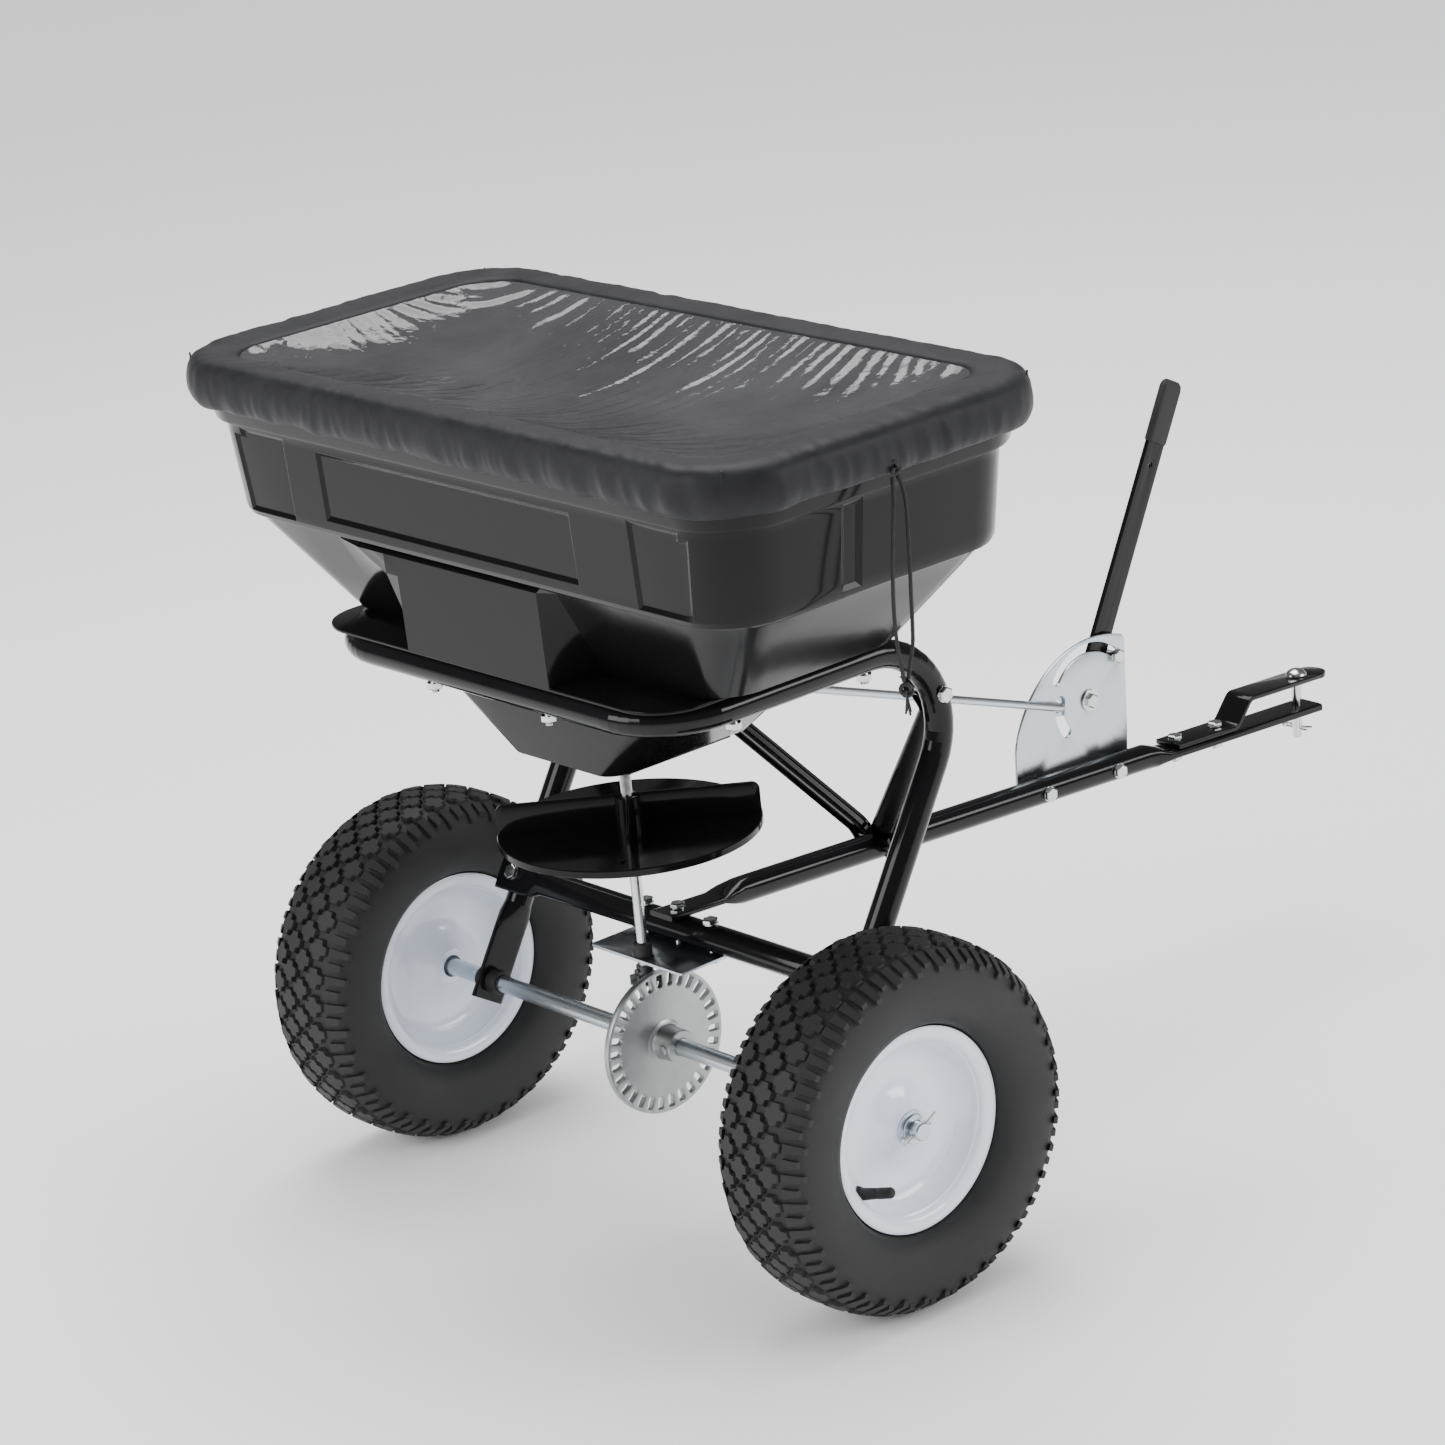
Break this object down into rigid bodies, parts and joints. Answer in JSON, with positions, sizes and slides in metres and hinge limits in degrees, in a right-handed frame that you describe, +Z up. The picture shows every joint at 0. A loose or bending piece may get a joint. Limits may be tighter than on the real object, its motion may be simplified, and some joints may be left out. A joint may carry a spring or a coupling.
{
  "type": "tow-behind broadcast spreader",
  "caption": "Tow-behind broadcast spreader: black hopper with a rain cover on a bent tube frame, pneumatic wheels, a gear-driven impeller and a lever-worked gate.",
  "frame": {"origin": "centre of the overall length and width, on the ground under the tyres (bottom centre of the bounding box without the drawcord)", "axes": "+X forward along the tongue to the hitch, +Y to the left wheel (the driven one), +Z up, hopper level"},
  "size_m": [1.0666, 0.7709, 0.786],
  "materials": {
    "black_paint": "gloss black powder coat",
    "black_plastic": "gloss injection-moulded black plastic",
    "zinc_plate": "blue-white zinc plating, satin",
    "bolt_steel": "bright zinc-plated fasteners",
    "cast_gear": "die-cast, mottled satin",
    "sintered_pinion": "dark sintered steel, satin",
    "rim_paint": "gloss pale blue-white paint",
    "tyre_rubber": "matte moulded rubber",
    "grip_vinyl": "matte dipped vinyl",
    "cover_cloth": "thin woven black polyester, gathered",
    "cover_vinyl": "smoky clear vinyl sheet",
    "cord_braid": "braided black polyester cord"
  },
  "bodies": {
    "root": {"frame_tube": "black_paint", "cross_tube": "black_paint", "hitch_tube": "black_paint", "hitch_strap": "black_paint", "left_brace": "black_paint", "right_brace": "black_paint", "bearing_plate": "zinc_plate", "shaft_bushing": "black_plastic", "left_axle_bushing": "black_plastic", "right_axle_bushing": "black_plastic", "control_plate": "zinc_plate", "lever_pivot": "bolt_steel", "hopper": "black_plastic", "gate_guide": "zinc_plate", "hopper_bolt_1": "bolt_steel", "hopper_bolt_2": "bolt_steel", "hopper_bolt_3": "bolt_steel", "hopper_bolt_4": "bolt_steel", "hopper_bolt_5": "bolt_steel", "hopper_bolt_6": "bolt_steel", "left_cross_bolt": "bolt_steel", "right_cross_bolt": "bolt_steel", "left_plate_bolt": "bolt_steel", "right_plate_bolt": "bolt_steel", "left_brace_bolt": "bolt_steel", "right_brace_bolt": "bolt_steel", "tongue_bolt": "bolt_steel", "brace_foot_bolt": "bolt_steel", "control_bolt_1": "bolt_steel", "control_bolt_2": "bolt_steel", "strap_bolt_1": "bolt_steel", "strap_bolt_2": "bolt_steel"},
    "drive_axle": {"axle": "zinc_plate", "drive_gear": "cast_gear", "left_rim": "rim_paint", "left_tyre": "tyre_rubber", "drive_pin": "zinc_plate", "axle_cotter": "zinc_plate"},
    "free_wheel": {"right_rim": "rim_paint", "right_tyre": "tyre_rubber", "outer_wheel_bearing": "zinc_plate", "inner_wheel_bearing": "zinc_plate"},
    "spinner": {"spinner_shaft": "zinc_plate", "pinion": "sintered_pinion", "impeller": "black_plastic", "agitator": "zinc_plate"},
    "lever": {"lever_arm": "zinc_plate", "lever_bar": "black_paint", "lever_grip": "grip_vinyl"},
    "gate": {"flow_gate": "zinc_plate"},
    "rod": {"link_rod": "zinc_plate"},
    "rate_stop": {"stop_bolt": "bolt_steel"},
    "pin": {"hitch_pin": "zinc_plate"},
    "clip": {"hitch_clip": "zinc_plate"},
    "rain_cover": {"cover_hem": "cover_cloth", "cover_window": "cover_vinyl", "drawcord_rear": "cord_braid", "drawcord_front": "cord_braid", "drawcord_knot": "cord_braid"}
  },
  "joints": [
    {"name": "axle_spin", "type": "hinge", "parent": "root", "child": "drive_axle", "pos_m": [-0.35528, 0, 0.165], "axis": [0, 1, 0], "continuous": true},
    {"name": "free_wheel_spin", "type": "hinge", "parent": "drive_axle", "child": "free_wheel", "pos_m": [-0.35528, 0, 0.165], "axis": [0, 1, 0], "continuous": true},
    {"name": "spinner_spin", "type": "hinge", "parent": "root", "child": "spinner", "pos_m": [-0.35528, 0, 0.3675], "axis": [0, 0, 1], "continuous": true},
    {"name": "lever_swing", "type": "hinge", "parent": "root", "child": "lever", "pos_m": [0.22665, 0, 0.31047], "axis": [0, 1, 0], "range_deg": [-37.5, 3.8]},
    {"name": "gate_slide", "type": "slide", "parent": "root", "child": "gate", "axis": [1, 0, 0], "range_m": [-0.002, 0.0145]},
    {"name": "rod_pivot", "type": "hinge", "parent": "gate", "child": "rod", "pos_m": [-0.15028, 0.008, 0.441], "axis": [0, 1, 0], "range_deg": [-0.7, 4.6]},
    {"name": "stop_slide", "type": "hinge", "parent": "root", "child": "rate_stop", "pos_m": [0.22665, 0, 0.31047], "axis": [0, 1, 0], "range_deg": [-3.5, 0]},
    {"name": "pin_lift", "type": "slide", "parent": "root", "child": "pin", "axis": [0.0541, 0, 0.9985], "range_m": [0, 0.004]},
    {"name": "clip_pull", "type": "slide", "parent": "pin", "child": "clip", "axis": [0, 1, 0], "range_m": [0, 0.03]},
    {"name": "cover_lift", "type": "slide", "parent": "root", "child": "rain_cover", "axis": [0, 0, 1], "range_m": [0, 0.15]}
  ],
  "couplings": [
    {"joint": "spinner_spin", "follows": "axle_spin", "ratio": 5},
    {"joint": "gate_slide", "follows": "lever_swing", "m_per_rad": -0.0219},
    {"joint": "rod_pivot", "follows": "lever_swing", "ratio": -0.115}
  ]
}
